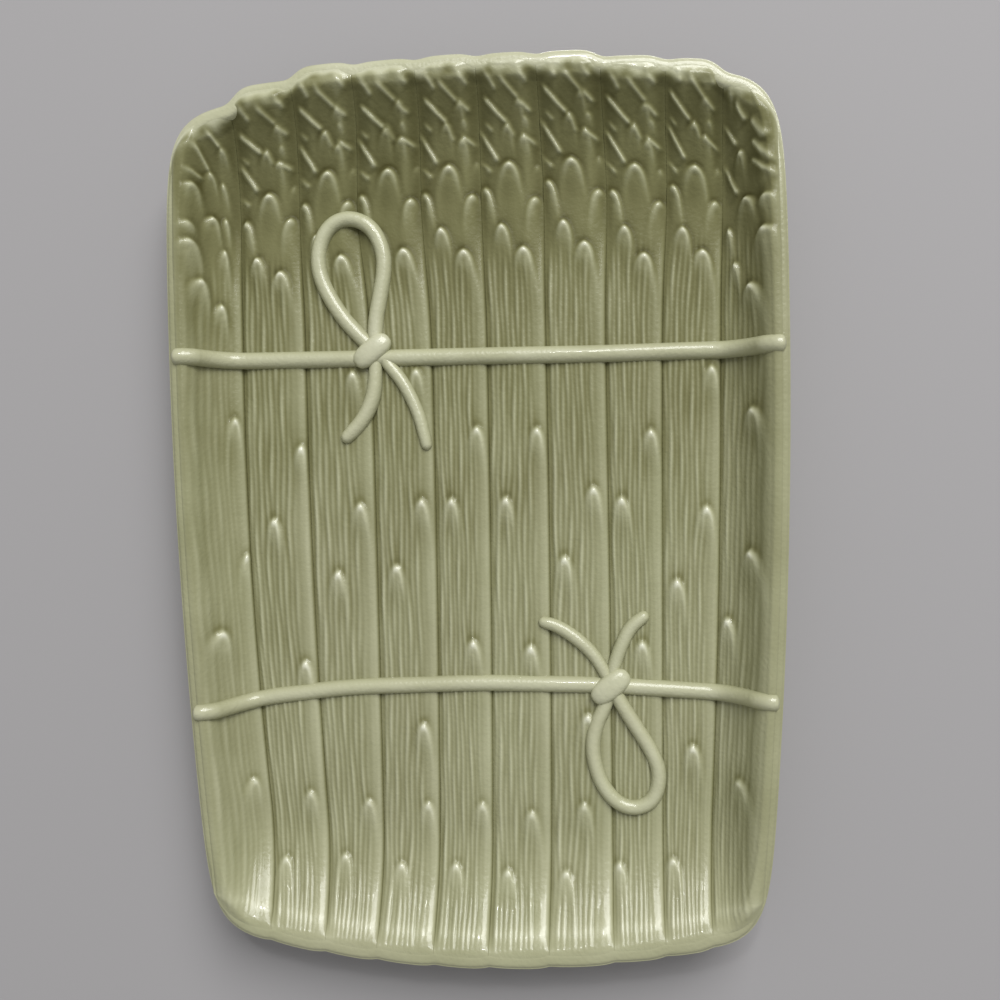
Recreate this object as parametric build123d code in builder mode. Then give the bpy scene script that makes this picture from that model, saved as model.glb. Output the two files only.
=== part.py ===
"""Asparagus plate: a shallow glazed earthenware tray modelled as a bundle of asparagus spears.

The tray is a lofted shell on a foot ring. Ten spears lie side by side on its upper face, each over the left
edge of the next. Two clay ties cross the bundle, each with a knot, one bow loop and two loose ends.
Millimetres, +Z up, +Y towards the tips. The origin is under the middle of the plate, at the table.
"""

import math
import os

from build123d import *

# Plan of the rim
PLATE_LENGTH = 322.0  # over the rim, from the cut ends to the tips
TIP_WIDTH = 219.0  # across the rim at the corners beside the tips
MIDDLE_WIDTH = 217.5  # across the rim half-way along
BUTT_WIDTH = 192.0  # across the rim at the corners beside the cut ends
TIP_CROWN = 15.0  # bow of the tip end past its corners
BUTT_CROWN = 12.0  # bow of the cut end past its corners
TIP_CORNER = 23.0  # corner radius of the rim beside the tips
BUTT_CORNER = 18.0  # corner radius of the rim beside the cut ends

# Section of the tray
RIM_HEIGHT = 26.0  # lip above the table
WALL = 5.0  # thickness of the tray under the spears
LIP = 6.0  # width of the lip between the rim's edge and the hollow
LIP_HEIGHT = 4.0  # depth of the lip's outer edge
LIP_BEVEL = 1.6  # easing of the lip's outer edge
SIDE_RUN = 17.0  # width of the rising side, in plan
TIP_RUN = 44.0  # length of the rising tip end, in plan
BUTT_RUN = 40.0  # length of the rising cut end, in plan
WELL_CORNER = 8.0  # corner radius of the flat floor
CORNER_POWER = 3.4  # how the two rises blend in a corner
SLICES = 4  # steps from the floor to the lip

# Foot
FOOT_HEIGHT = 3.5
FOOT_WIDTH = 7.0
FOOT_INSET = 4.0  # foot's outer edge, inside the edge of the tray's flat underside
FOOT_BEVEL = 1.0

# Spears, from left to right without the two on the sides, measured across at the tip end
SPEAR_WIDTHS = (24.0, 25.0, 22.5, 20.5, 21.5, 21.5, 20.0, 21.0)
STEM_TAPER = 0.885  # width of a spear's place at the cut end, for 1 at the tip end
OVERLAP = 0.8  # how far a spear reaches over the next one
SIDE_OVERLAP = 2.0  # the same, of the spear on the left side
SPEAR_LOW = 1.1  # height of a spear's left edge above the tray
SPEAR_HIGH = 2.6  # height of its crest, near the right edge
CREST_WIDTH = 4.0  # smooth band at the right edge
CREST_SLOPE = 1.8  # easing of the right edge
RIB_COUNT = 3
RIB_RISE = 0.45  # height of a rib
SEAT = 2.0  # depth to which a spear is drawn below the tray's face, before it is trimmed
END_GAP = 3.0  # from a spear's end to the edge of the hollow, along its length
SIDE_RELIEF = 2.4  # thickness of the two side spears
SIDE_DROP = 1.5  # top of the side spears below the lip

# Scales of a tip: place across the spear (0 left, 1 right), apex from the rim's edge, width share, length
TIP_SCALES = (
    (0.40, 23.0, 0.36, 15.0),
    (0.71, 27.0, 0.30, 15.0),
    (0.50, 37.0, 0.52, 24.0),
    (0.86, 47.0, 0.30, 20.0),
    (0.30, 58.0, 0.40, 28.0),
    (0.67, 66.0, 0.42, 30.0),
)
# Bracts of a stem: place across the spear, and apex from the rim's edge at the cut ends
BRACTS = ((0.80, 190.0), (0.32, 164.0), (0.76, 112.0), (0.74, 53.0), (0.34, 32.0))
BRACT_WIDTH = 6.5
BRACT_LENGTH = 15.0
BRACT_SHIFTS = (5.0, -4.0, 21.0, 21.0, 0.0, 0.0, -21.0, -1.0, 20.0, 4.0)  # of each spear's bracts
TIP_SHIFTS = (-12.0, -6.0, 0.0, 0.0, 0.0, 0.0, 2.0, 0.0, 0.0, -3.0)  # of each spear's scales
SCALE_PROUD = 1.1  # height of a scale's apex above the stem
SCALE_DEPTH = 1.8  # thickness of a scale, most of it inside the stem
SCALE_DIP = 0.5  # depth of its lower end under the stem's face

# Ties: a clay cord over the bundle, with a knot, a bow loop and two loose ends
CORD_RADIUS = 3.2
CORD_SIDES = 8  # hand-rolled clay, pressed into flats
CORD_LIFT = 0.5  # cord's middle above the crests of the spears
CORD_OVER_LIP = 0.6  # share of the lip that a cord's end covers
CORD_STATIONS = (0.35, 0.82, 0.93)  # where a cord bends, as shares of its half length
STRING_RADIUS = 2.4  # of the clay string in the bows and loose ends
STRING_SIDES = 6
STRING_LIFT = 1.35  # its middle above the crests
STRING_STEP = 30.0  # turn of the bow from one pressed flat to the next, in degrees
KNOT_LENGTH = 15.0
KNOT_WIDTH = 8.5
KNOT_HEIGHT = 5.4  # above the crests
KNOT_BEVEL = 2.0
KNOT_TURN = 35.0
BOW_SPREAD = 11.5  # radius of the bow loop's round end
UPPER_TIE = 105.0  # from the rim's edge at the tips
UPPER_KNOT = -38.0  # across the plate
UPPER_SAG = 0.8  # how far the cord's ends lie towards the cut ends
UPPER_BOW = (-7.5, 38.5)  # middle of the bow's round end, from the knot
UPPER_TAILS = (((0.5, -5.0), (-1.5, -15.5), (-11.0, -28.5)), ((4.5, -2.0), (13.0, -12.0), (19.5, -32.5)))
LOWER_TIE = 97.0  # from the rim's edge at the cut ends
LOWER_KNOT = 46.0
LOWER_SAG = 6.5
LOWER_BOW = (5.0, -31.5)
LOWER_TAILS = (((-2.0, 4.5), (-8.5, 14.0), (-23.0, 22.5)), ((1.5, 6.0), (5.0, 16.0), (12.5, 24.0)))


def floor_height():
    """Height of the tray's inner floor above the table."""
    return FOOT_HEIGHT + WALL


def hollow_angle():
    """Angle that the rising end turns through, from the flat floor to the lip."""
    return 2 * math.atan((RIM_HEIGHT - floor_height()) / TIP_RUN)


def outline(side_inset, tip_inset, butt_inset, tip_corner, butt_corner, height):
    """The rim's plan, drawn in by the insets, as a sketch at a height."""
    tip_y = PLATE_LENGTH / 2 - tip_inset
    butt_y = butt_inset - PLATE_LENGTH / 2
    tip_half = TIP_WIDTH / 2 - side_inset
    middle_half = MIDDLE_WIDTH / 2 - side_inset
    butt_half = BUTT_WIDTH / 2 - side_inset
    tip_shoulder = tip_y - TIP_CROWN * (2 * tip_half / TIP_WIDTH) ** 2
    butt_shoulder = butt_y + BUTT_CROWN * (2 * butt_half / BUTT_WIDTH) ** 2
    tip_left, tip_right = (-tip_half, tip_shoulder), (tip_half, tip_shoulder)
    butt_left, butt_right = (-butt_half, butt_shoulder), (butt_half, butt_shoulder)
    with BuildSketch(Plane.XY.offset(height)) as plan:
        with BuildLine():
            ThreePointArc(butt_left, (-middle_half, 0), tip_left)
            ThreePointArc(tip_left, (0, tip_y), tip_right)
            ThreePointArc(tip_right, (middle_half, 0), butt_right)
            ThreePointArc(butt_right, (0, butt_y), butt_left)
        make_face()
        fillet(plan.vertices().group_by(Axis.Y)[-1], tip_corner)
        fillet(plan.vertices().group_by(Axis.Y)[0], butt_corner)
    return plan.sketch


def slice_at(share, offset):
    """One slice of the hollow, a share of the way from floor to lip, moved along its normal by an offset."""
    turn = share * hollow_angle()
    reach = math.sin(turn) / math.sin(hollow_angle())
    climb = (1 - math.cos(turn)) / (1 - math.cos(hollow_angle()))
    inset = LIP + offset * math.sin(turn)
    return outline(
        inset + SIDE_RUN * (1 - reach),
        inset + TIP_RUN * (1 - reach),
        inset + BUTT_RUN * (1 - reach),
        WELL_CORNER + (TIP_CORNER - LIP - WELL_CORNER) * reach,
        WELL_CORNER + (BUTT_CORNER - LIP - WELL_CORNER) * reach,
        floor_height() + (RIM_HEIGHT - floor_height()) * climb + offset * math.cos(turn),
    )


def tip_edge(x):
    """Rim's edge at the tip end, along the plate."""
    return PLATE_LENGTH / 2 - TIP_CROWN * (2 * x / TIP_WIDTH) ** 2


def butt_edge(x):
    """Rim's edge at the cut end, along the plate."""
    return BUTT_CROWN * (2 * x / BUTT_WIDTH) ** 2 - PLATE_LENGTH / 2


def side_edge(y):
    """Rim's edge at the side, across the plate."""
    share = 2 * y / PLATE_LENGTH
    bow = (TIP_WIDTH + BUTT_WIDTH) / 2 - MIDDLE_WIDTH
    return (MIDDLE_WIDTH + (TIP_WIDTH - BUTT_WIDTH) / 2 * share + bow * share**2) / 2


def tray_height(x, y):
    """Height of the tray's upper face."""
    side = max(0.0, 1 - (side_edge(y) - LIP - abs(x)) / SIDE_RUN)
    tip = max(0.0, 1 - (tip_edge(x) - LIP - y) / TIP_RUN)
    butt = max(0.0, 1 - (y - butt_edge(x) - LIP) / BUTT_RUN)
    reach = (side**CORNER_POWER + max(tip, butt) ** CORNER_POWER) ** (1 / CORNER_POWER)
    turn = math.asin(min(1.0, reach) * math.sin(hollow_angle()))
    climb = (1 - math.cos(turn)) / (1 - math.cos(hollow_angle()))
    return floor_height() + (RIM_HEIGHT - floor_height()) * climb


def stem_mark(edge, y):
    """Place of a spear's edge across the plate; the edges draw together towards the cut ends."""
    mark = sum(SPEAR_WIDTHS[:edge]) - sum(SPEAR_WIDTHS) / 2
    share = (PLATE_LENGTH / 2 - y) / PLATE_LENGTH
    return mark * (1 + (STEM_TAPER - 1) * share)


def lying_plane(x, y, lift, pitch):
    """A plane lying on the tray's face at a place, lifted off it, its far end raised by the pitch."""
    along = Vector(0, 2, tray_height(x, y + 1) - tray_height(x, y - 1)).normalized()
    across = Vector(2, 0, tray_height(x + 1, y) - tray_height(x - 1, y)).normalized()
    face = across.cross(along).normalized()
    spot = Vector(x, y, tray_height(x, y)) + face * lift
    return Plane(origin=spot, x_dir=along.cross(face), z_dir=face).rotated((pitch, 0, 0))


def scale(x, y, lift, width, length):
    """One pointed scale: its apex stands proud of the stem and its lower end runs into it."""
    pitch = math.degrees(math.atan((SCALE_PROUD + SCALE_DIP) / length))
    shoulder = -length * 0.35
    with BuildPart() as blade:
        with BuildSketch(lying_plane(x, y, lift + SCALE_PROUD, pitch)):
            with BuildLine():
                Polyline((0, 0), (width / 2, shoulder), (0, -length), (-width / 2, shoulder), close=True)
            make_face()
        extrude(amount=-SCALE_DEPTH)
    return blade.part


def scales_of(spear, left_edge, right_edge, low, high):
    """All scales and bracts of one spear, lying at the height of its face."""
    middle = (left_edge(PLATE_LENGTH / 3) + right_edge(PLATE_LENGTH / 3)) / 2
    places = []
    for share, from_rim, width, length in TIP_SCALES:
        y = tip_edge(middle) - from_rim + TIP_SHIFTS[spear]
        places.append((share, y, width * (right_edge(y) - left_edge(y)), length))
    for share, from_rim in BRACTS:
        y = from_rim - PLATE_LENGTH / 2 + BRACT_SHIFTS[spear]
        places.append((share, y, BRACT_WIDTH, BRACT_LENGTH))
    blades = []
    for share, y, width, length in places:
        x = left_edge(y) + (right_edge(y) - left_edge(y)) * share
        blades.append(scale(x, y, low + (high - low) * share, width, length))
    return blades


def cut_by(solid, others):
    """A solid less every other one whose box reaches into its own."""
    box = solid.bounding_box()
    with BuildPart() as rest:
        add(solid)
        for other in others:
            limit = other.bounding_box()
            beside = limit.min.X < box.max.X and limit.max.X > box.min.X
            if beside and limit.min.Y < box.max.Y and limit.max.Y > box.min.Y:
                add(other, mode=Mode.SUBTRACT)
    return rest.part


def save(part, label):
    """Write one node."""
    part.label = label
    export_step(part, f"parts/{label}.step")
    print(label, round(part.volume), "mm3", len(part.solids()), "solid", len(part.faces()), "faces")


os.makedirs("parts", exist_ok=True)

# Tray: the outer form less the hollow, with an eased lip
with BuildPart() as hollow:
    loft([slice_at(step / SLICES, 0) for step in range(SLICES + 1)], ruled=True)

with BuildPart() as dish_body:
    under = [slice_at(step / SLICES, -WALL) for step in range(SLICES)]
    under.append(outline(0, 0, 0, TIP_CORNER, BUTT_CORNER, RIM_HEIGHT - LIP_HEIGHT))
    under.append(outline(0, 0, 0, TIP_CORNER, BUTT_CORNER, RIM_HEIGHT - LIP_BEVEL))
    tip_corner, butt_corner = TIP_CORNER - LIP_BEVEL, BUTT_CORNER - LIP_BEVEL
    under.append(outline(LIP_BEVEL, LIP_BEVEL, LIP_BEVEL, tip_corner, butt_corner, RIM_HEIGHT))
    loft(under, ruled=True)
    add(hollow.part, mode=Mode.SUBTRACT)
save(dish_body.part, "dish_body")

# Foot: a ring under the tray's flat underside


def foot_plan(inset, corner, height):
    """The foot's plan, drawn in from the edge of the tray's flat underside."""
    return outline(LIP + SIDE_RUN + inset, LIP + TIP_RUN + inset, LIP + BUTT_RUN + inset, corner, corner, height)


with BuildPart() as foot_ring:
    outer = FOOT_INSET
    inner = FOOT_INSET + FOOT_WIDTH
    loft(
        [
            foot_plan(outer + FOOT_BEVEL, WELL_CORNER - FOOT_BEVEL, 0),
            foot_plan(outer, WELL_CORNER, FOOT_BEVEL),
            foot_plan(outer, WELL_CORNER, FOOT_HEIGHT),
        ],
        ruled=True,
    )
    loft(
        [
            foot_plan(inner - FOOT_BEVEL, WELL_CORNER / 2 + FOOT_BEVEL, 0),
            foot_plan(inner, WELL_CORNER / 2, FOOT_BEVEL),
            foot_plan(inner, WELL_CORNER / 2, FOOT_HEIGHT),
        ],
        ruled=True,
        mode=Mode.SUBTRACT,
    )
save(foot_ring.part, "foot_ring")

# Side spears: a lining of the hollow's side, as thick as a spear
with BuildPart() as lined_hollow:
    loft([slice_at(step / SLICES, SIDE_RELIEF) for step in range(SLICES + 1)], ruled=True)


def side_spear(spear, edge, side, overlap):
    """A spear lying against the tray's side, from its neighbour's edge to the lip."""
    far = PLATE_LENGTH / 2
    with BuildPart() as stem:
        with BuildSketch():
            with BuildLine():
                Polyline(
                    (stem_mark(edge, far) + overlap, far),
                    (side * TIP_WIDTH, far),
                    (side * TIP_WIDTH, -far),
                    (stem_mark(edge, -far) + overlap, -far),
                    close=True,
                )
            make_face()
        extrude(amount=RIM_HEIGHT - SIDE_DROP)
        add(lined_hollow.part, mode=Mode.SUBTRACT)
        edges = [lambda y: stem_mark(edge, y), lambda y: side * (side_edge(y) - LIP)]
        left_edge, right_edge = edges[::side]
        add(scales_of(spear, left_edge, right_edge, SIDE_RELIEF, SIDE_RELIEF))
        add(hollow.part, mode=Mode.INTERSECT)
    return stem.part


def floor_spear(spear):
    """A spear along the tray: its ribbed section swept up the tip end, over the floor and up the cut end."""
    width = SPEAR_WIDTHS[spear - 1]
    tip_x = (stem_mark(spear - 1, PLATE_LENGTH / 2) + stem_mark(spear, PLATE_LENGTH / 2)) / 2
    butt_x = tip_x * STEM_TAPER
    start = Vector(tip_x, tip_edge(tip_x) - LIP, floor_height())
    along = Vector(butt_x, butt_edge(butt_x) + LIP, floor_height()) - start
    lie = Plane(origin=start, x_dir=along, z_dir=along.cross(Vector(0, 0, 1)))
    tip_turn = hollow_angle()
    butt_turn = 2 * math.atan((RIM_HEIGHT - floor_height()) / BUTT_RUN)
    tip_radius = TIP_RUN / math.sin(tip_turn)
    butt_radius = BUTT_RUN / math.sin(butt_turn)
    bends = [step / SLICES for step in range(1, SLICES)]
    tip_bends = [tip_turn - END_GAP / tip_radius] + [tip_turn * bend for bend in reversed(bends)]
    butt_bends = [butt_turn * bend for bend in bends] + [butt_turn - END_GAP / butt_radius]
    flat_end = along.length - BUTT_RUN
    left = -width / 2
    right = width / 2 + OVERLAP
    valleys = []
    for rib in range(RIB_COUNT + 1):
        share = rib / RIB_COUNT
        climb = SPEAR_LOW + (SPEAR_HIGH - SPEAR_LOW) * share
        valleys.append(Vector(left + (right - CREST_WIDTH - left) * share, climb))
    with BuildPart() as stem:
        with BuildLine(lie) as spine:
            Polyline(
                *[(TIP_RUN - tip_radius * math.sin(a), tip_radius * (1 - math.cos(a))) for a in tip_bends],
                (TIP_RUN, 0),
                (flat_end, 0),
                *[(flat_end + butt_radius * math.sin(a), butt_radius * (1 - math.cos(a))) for a in butt_bends],
            )
        path = spine.wire()
        with BuildSketch(Plane(origin=path @ 0, x_dir=-lie.z_dir, z_dir=path % 0)):
            with BuildLine():
                Line((left, -SEAT), valleys[0])
                for low, high in zip(valleys, valleys[1:]):
                    Polyline(low, (low + high) / 2 + Vector(0, RIB_RISE), high)
                Line(valleys[-1], (right - CREST_SLOPE, SPEAR_HIGH))
                Line((right - CREST_SLOPE, SPEAR_HIGH), (right, SPEAR_HIGH - CREST_SLOPE))
                Line((right, SPEAR_HIGH - CREST_SLOPE), (right, -SEAT))
                Line((right, -SEAT), (left, -SEAT))
            make_face()
        sweep(path=path, transition=Transition.RIGHT)
        left_edge = lambda y: stem_mark(spear - 1, y)
        right_edge = lambda y: stem_mark(spear, y)
        add(scales_of(spear, left_edge, right_edge, SPEAR_LOW, SPEAR_HIGH))
        add(hollow.part, mode=Mode.INTERSECT)
    return stem.part


# Spears: each lies over the left edge of the next
last = len(SPEAR_WIDTHS) + 1
spears = [side_spear(0, 0, -1, SIDE_OVERLAP)]
for spear in range(1, last):
    spears.append(cut_by(floor_spear(spear), spears[-1:]))
spears.append(cut_by(side_spear(last, last - 1, 1, 0.0), spears[-1:]))
for spear, part in enumerate(spears):
    save(part, f"spear_{spear + 1:02d}")


def string_along(points):
    """The clay string of the bows and loose ends, through points, with flats between them."""
    with BuildPart() as string:
        with BuildLine() as run:
            Polyline(points)
        path = run.wire()
        with BuildSketch(Plane(origin=path @ 0, x_dir=(0, 0, 1), z_dir=path % 0)):
            RegularPolygon(STRING_RADIUS, STRING_SIDES)
        sweep(path=path, transition=Transition.RIGHT)
    return string.part


def cord_over(tie_y, sag):
    """The cord from lip to lip, lying on the crests of the spears; its right half mirrors the left."""
    crest = floor_height() + SPEAR_HIGH + CORD_LIFT
    stations = [Vector(0, tie_y, crest)]
    for share in CORD_STATIONS:
        y = tie_y - sag * (share**2 - CORD_STATIONS[0] ** 2)
        x = -share * (side_edge(y) - LIP * CORD_OVER_LIP)
        stations.append(lying_plane(x, y, SPEAR_HIGH + CORD_LIFT, 0).origin)
    end_y = tie_y - sag * (1 - CORD_STATIONS[0] ** 2)
    stations.append(Vector(LIP * CORD_OVER_LIP - side_edge(end_y), end_y, RIM_HEIGHT + CORD_LIFT))
    with BuildPart() as cord:
        with BuildLine() as run:
            Polyline(stations[::-1])
        path = run.wire()
        with BuildSketch(Plane(origin=path @ 0, x_dir=(0, 1, 0), z_dir=path % 0)):
            RegularPolygon(CORD_RADIUS, CORD_SIDES)
        sweep(path=path, transition=Transition.RIGHT)
        mirror(about=Plane.YZ)
    return cut_by(cord.part, spears + [dish_body.part])


def bow_points(knot, reach):
    """A bow loop: a straight leg from the knot, round the far end and a straight leg back."""
    axis = math.hypot(*reach)
    ahead = Vector(*reach).normalized()
    side = Vector(-ahead.Y, ahead.X)
    swing = math.degrees(math.asin(BOW_SPREAD / axis))
    steps = round((180 + 2 * swing) / STRING_STEP)
    root = side * (STRING_RADIUS * 1.1)
    points = [knot + root]
    for step in range(steps + 1):
        turn = math.radians(90 + swing - step * (180 + 2 * swing) / steps)
        points.append(knot + ahead * (axis + BOW_SPREAD * math.cos(turn)) + side * (BOW_SPREAD * math.sin(turn)))
    return points + [knot - root]


def tie(name, tie_y, knot_x, sag, bow, tails):
    """One tie across the bundle, as five nodes that meet face to face."""
    crest = floor_height() + SPEAR_HIGH
    knot_spot = Vector(knot_x, tie_y, crest + STRING_LIFT)
    cord = cord_over(tie_y, sag)

    with BuildPart() as band:
        with BuildSketch(Plane(origin=(knot_x, tie_y, floor_height())).rotated((0, 0, KNOT_TURN))) as plan:
            Rectangle(KNOT_LENGTH, KNOT_WIDTH)
            chamfer(plan.vertices(), KNOT_BEVEL)
        extrude(amount=SPEAR_HIGH + KNOT_HEIGHT)
        chamfer(band.faces().sort_by(Axis.Z)[-1].edges(), KNOT_BEVEL)
    knot = cut_by(band.part, spears + [cord])

    loop = cut_by(string_along(bow_points(knot_spot, bow)), spears + [knot, cord])
    save(cord, f"{name}_cord")
    save(knot, f"{name}_knot")
    save(loop, f"{name}_bow")
    for hand, offsets in zip(("left", "right"), tails):
        curl = ThreePointArc(*[knot_spot + Vector(*offset) for offset in offsets])
        tail = string_along([curl @ share for share in (0, 0.25, 0.5, 0.75, 1)])
        save(cut_by(tail, spears + [knot, cord, loop]), f"{name}_tail_{hand}")


tie("upper", PLATE_LENGTH / 2 - UPPER_TIE, UPPER_KNOT, UPPER_SAG, UPPER_BOW, UPPER_TAILS)
tie("lower", LOWER_TIE - PLATE_LENGTH / 2, LOWER_KNOT, LOWER_SAG, LOWER_BOW, LOWER_TAILS)
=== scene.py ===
import math

import bpy
import numpy as np
from mathutils import Matrix, Vector


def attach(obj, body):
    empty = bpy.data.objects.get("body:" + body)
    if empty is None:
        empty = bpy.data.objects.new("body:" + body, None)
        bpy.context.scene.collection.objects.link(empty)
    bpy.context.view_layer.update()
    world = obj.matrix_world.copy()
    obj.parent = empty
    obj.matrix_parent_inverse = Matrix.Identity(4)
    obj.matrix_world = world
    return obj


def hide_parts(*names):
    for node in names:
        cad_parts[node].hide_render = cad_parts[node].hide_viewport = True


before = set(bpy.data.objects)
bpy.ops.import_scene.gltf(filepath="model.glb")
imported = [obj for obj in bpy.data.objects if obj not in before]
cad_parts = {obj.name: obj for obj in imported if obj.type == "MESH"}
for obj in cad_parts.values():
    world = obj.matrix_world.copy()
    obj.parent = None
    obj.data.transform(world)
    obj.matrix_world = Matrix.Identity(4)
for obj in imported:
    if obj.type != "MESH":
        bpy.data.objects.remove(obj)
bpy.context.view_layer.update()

bpy.ops.object.select_all(action="DESELECT")

# Dish body: the tray itself, slip-cast earthenware under a clear green-grey glaze.
# It is one shell about 5 mm thick, with a rounded lip that follows the spear tips in soft lobes,
# and the outside left plain. All sizes are in millimetres, turned to metres when a mesh is filled.
MM = 0.001
LENGTH = 322.0
TIP_WIDTH = 218.9
MIDDLE_WIDTH = 217.4
BUTT_WIDTH = 192.0
TIP_CROWN = 15.0
BUTT_CROWN = 12.0
FLOOR = 8.5
HOLLOW_TOP = 25.5
HOLLOW_INSET = 4.2
SIDE_RUN = 18.8
TIP_RUN = 45.8
BUTT_RUN = 41.8
CORNER_POWER = 3.4
WALL = 5.0
UNDERSIDE = 3.5
LIP_LOW = 22.2
LIP_RISE = 3.8
LIP_HALF = 2.7
TIP_STEP = 0.7
TIP_NOTCH = 0.9
TIP_LOBES = (-1.0, 1.2, 3.1, 0.7, 0.0, -0.4, 0.2, -0.5, 0.8, -0.5)
BUTT_LOBE = 0.8
TIP_POWER = 13.0
BUTT_POWER = 16.0
LIP_POWER = 3.4
SIDE_SPEAR_MIDDLES = (-98.0, 99.0)
STEP_SOFTNESS = 1.6
NOTCH_REACH = 4.0
BUTT_LOBE_LEFT = 2.5
BUTT_LOBE_RIGHT = 6.0
BEYOND_RIM = 220.0
HALVINGS = 40
STEEPEST = 0.35
NORMAL_STEP = 1.2
ROUND_STEPS = 960
TURN = 2 * math.atan((HOLLOW_TOP - FLOOR) / TIP_RUN)

# Edges between the ten spears, across the plate: near the tips, past the upper tie, at the cut ends,
# and how far they swing aside where the tips are widest
EDGE_STATIONS = (152.0, 40.0, -147.0)
SWING_PLACE = 112.0
SWING_REACH = 30.0
SPEAR_EDGES = (
    (-85.0, -88.1, -76.3, -1.0),
    (-62.3, -63.8, -56.6, -1.9),
    (-39.8, -38.7, -37.8, -3.8),
    (-17.1, -15.9, -17.4, -2.5),
    (4.5, 4.5, 2.0, -1.2),
    (25.7, 26.1, 23.3, 0.4),
    (48.0, 47.7, 45.7, 1.4),
    (70.3, 67.7, 63.3, 1.6),
    (90.0, 88.5, 79.2, 1.1),
)


def side_edge(y):
    """How far out the plate's side lies, at a place along it."""
    share = 2 * y / LENGTH
    bow = (TIP_WIDTH + BUTT_WIDTH) / 2 - MIDDLE_WIDTH
    return (MIDDLE_WIDTH + (TIP_WIDTH - BUTT_WIDTH) / 2 * share + bow * share**2) / 2


def tip_edge(x):
    """The crowned line of the tip end, without its lobes."""
    return LENGTH / 2 - TIP_CROWN * (2 * x / TIP_WIDTH) ** 2


def butt_edge(x):
    """The crowned line of the cut ends, without its lobes."""
    return BUTT_CROWN * (2 * x / BUTT_WIDTH) ** 2 - LENGTH / 2


def spear_edge(edge, y):
    """Place of the groove between two spears, a smooth line through its three stations."""
    a, b, c = EDGE_STATIONS
    p, q, r, swing = SPEAR_EDGES[edge]
    at_tip = p * (y - b) * (y - c) / ((a - b) * (a - c))
    at_middle = q * (y - a) * (y - c) / ((b - a) * (b - c))
    at_butt = r * (y - a) * (y - b) / ((c - a) * (c - b))
    return at_tip + at_middle + at_butt + swing * np.exp(-(((y - SWING_PLACE) / SWING_REACH) ** 2))


def tray_height(x, y):
    """Height of the tray's face: a flat floor and four rising sides."""
    side = np.clip(1 - (side_edge(y) - HOLLOW_INSET - np.abs(x)) / SIDE_RUN, 0, 2)
    tip = np.clip(1 - (tip_edge(x) - HOLLOW_INSET - y) / TIP_RUN, 0, 2)
    butt = np.clip(1 - (y - butt_edge(x) - HOLLOW_INSET) / BUTT_RUN, 0, 2)
    reach = (side**CORNER_POWER + np.maximum(tip, butt) ** CORNER_POWER) ** (1 / CORNER_POWER)
    turn = np.arcsin(np.minimum(reach, 1) * math.sin(TURN))
    return FLOOR + (HOLLOW_TOP - FLOOR) * (1 - np.cos(turn)) / (1 - math.cos(TURN))


def tray_normal(x, y):
    """Unit normal of the tray's face."""
    step = NORMAL_STEP
    fall_x = (tray_height(x - step, y) - tray_height(x + step, y)) / (2 * step)
    fall_y = (tray_height(x, y - step) - tray_height(x, y + step)) / (2 * step)
    normal = np.stack([fall_x, fall_y, np.ones_like(fall_x)], axis=-1)
    return normal / np.linalg.norm(normal, axis=-1, keepdims=True)


def laid(x, y, height):
    """Points lying on the tray, lifted along its normal."""
    base = np.stack([x, y, tray_height(x, y)], axis=-1)
    return base + tray_normal(x, y) * np.asarray(height)[..., None]


def smooth(low, high, value):
    """An eased ramp from 0 at low to 1 at high, which may be the smaller of the two."""
    share = np.clip((value - low) / (high - low), 0, 1)
    return share * share * (3 - 2 * share)


def tip_end(x):
    """Rim's edge at the tips: each spear ends in a flattish lobe, a step away from the next."""
    edges = [stations[0] for stations in SPEAR_EDGES]
    inner = [(left + right) / 2 for left, right in zip(edges, edges[1:])]
    middles = [SIDE_SPEAR_MIDDLES[0], *inner, SIDE_SPEAR_MIDDLES[1]]
    levels = [tip_edge(middle) + lobe for middle, lobe in zip(middles, TIP_LOBES)]
    stepped = np.full_like(x, levels[0])
    lobes = np.full_like(x, TIP_LOBES[0])
    notch = np.zeros_like(x)
    for spear, edge in enumerate(edges):
        past = 1 / (1 + np.exp((edge - x) / STEP_SOFTNESS))
        stepped = stepped + (levels[spear + 1] - levels[spear]) * past
        lobes = lobes + (TIP_LOBES[spear + 1] - TIP_LOBES[spear]) * past
        notch = np.maximum(notch, np.exp(-(((x - edge) / NOTCH_REACH) ** 2)))
    return TIP_STEP * stepped + (1 - TIP_STEP) * (tip_edge(x) + lobes) - TIP_NOTCH * notch


def butt_end(x):
    """Rim's edge at the cut ends: a shallow lobe for each spear."""
    drawn = np.zeros_like(x)
    for stations in SPEAR_EDGES:
        past = x - stations[2]
        falling = np.where(past > 0, np.exp(-past / BUTT_LOBE_RIGHT), np.exp(past / BUTT_LOBE_LEFT))
        drawn = np.maximum(drawn, falling)
    return butt_edge(x) + BUTT_LOBE * drawn


def corner_share(x, y, power):
    """How far an end draws back where it turns the plate's corner."""
    return np.clip(1 - (np.abs(x) / side_edge(y)) ** power, 0.0001, 1) ** (1 / power)


def rim_point(angle):
    """The rim's edge on a ray from the middle."""
    ray_x = np.cos(angle)
    ray_y = np.sin(angle)
    near = np.zeros_like(angle)
    far = np.full_like(angle, BEYOND_RIM)
    for _ in range(HALVINGS):
        middle = (near + far) / 2
        x = middle * ray_x
        y = middle * ray_y
        power = np.where(y > 0, TIP_POWER, BUTT_POWER)
        end = np.where(y > 0, tip_end(x), -butt_end(x))
        size = (np.abs(x) / side_edge(y)) ** power + (np.abs(y) / end) ** power
        near = np.where(size < 1, middle, near)
        far = np.where(size < 1, far, middle)
    return np.stack([near * ray_x, near * ray_y], axis=-1)


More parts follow.
